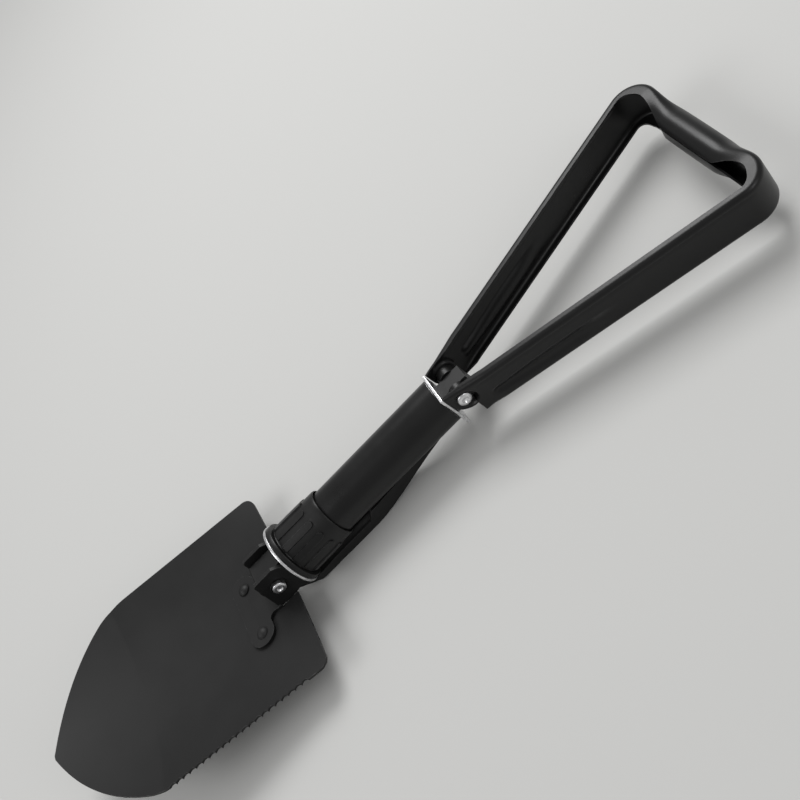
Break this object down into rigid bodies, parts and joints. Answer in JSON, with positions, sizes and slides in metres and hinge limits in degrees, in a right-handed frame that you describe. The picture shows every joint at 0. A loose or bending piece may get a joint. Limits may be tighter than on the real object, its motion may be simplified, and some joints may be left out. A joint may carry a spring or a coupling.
{
  "type": "folding camp shovel",
  "caption": "Tri-fold camp shovel with a dished blade toothed along one edge, a folding pick, a steel tube with a screw lock collar, and a folding D-handle of bent channel.",
  "frame": {"origin": "middle of the shovel's box, on the surface that it lies on, under the tube", "axes": "+X across the blade towards its toothed edge, +Y along the tube from blade to handle, +Z out of the blade's hollow front"},
  "size_m": [0.15, 0.5646, 0.0531],
  "materials": {
    "painted_steel": "satin",
    "handle_paint": "satin",
    "tube_paint": "satin",
    "zinc": "polished",
    "plain_steel": "satin",
    "black_plastic": "matte"
  },
  "bodies": {
    "root": {"shaft_tube": "tube_paint", "threaded_ferrule": "plain_steel", "ferrule_pins": "tube_paint", "pivot_bolt": "zinc", "pivot_nut": "zinc", "pivot_washers": "tube_paint", "stop_plate": "zinc", "handle_block": "painted_steel", "block_pin": "tube_paint", "handle_bolt": "zinc", "handle_nut": "zinc", "handle_spacers": "tube_paint"},
    "blade_body": {"blade": "painted_steel", "blade_bracket": "painted_steel", "bracket_rivets": "painted_steel"},
    "pick_body": {"pick": "painted_steel"},
    "ring_body": {"collar_ring": "zinc"},
    "collar_body": {"lock_collar": "black_plastic", "collar_insert": "plain_steel"},
    "handle_body": {"handle_frame": "handle_paint"}
  },
  "joints": [
    {"name": "blade_fold", "type": "hinge", "parent": "root", "child": "blade_body", "pos_m": [0, -0.09154, 0.0301], "axis": [-1, 0, 0], "range_deg": [0, 148]},
    {"name": "pick_fold", "type": "hinge", "parent": "root", "child": "pick_body", "pos_m": [0, -0.09154, 0.0301], "axis": [-1, 0, 0], "range_deg": [0, 55]},
    {"name": "collar_travel", "type": "slide", "parent": "root", "child": "ring_body", "axis": [0, 1, 0], "range_m": [0, 0.006]},
    {"name": "collar_turn", "type": "hinge", "parent": "ring_body", "child": "collar_body", "pos_m": [0, -0.06154, 0.0301], "axis": [0, 1, 0], "range_deg": [0, 540]},
    {"name": "handle_fold", "type": "hinge", "parent": "root", "child": "handle_body", "pos_m": [0, 0.07526, 0.0323], "axis": [-1, 0, 0], "range_deg": [0, 165]}
  ],
  "couplings": [
    {"joint": "collar_travel", "follows": "collar_turn", "m_per_rad": 0.00063662}
  ]
}
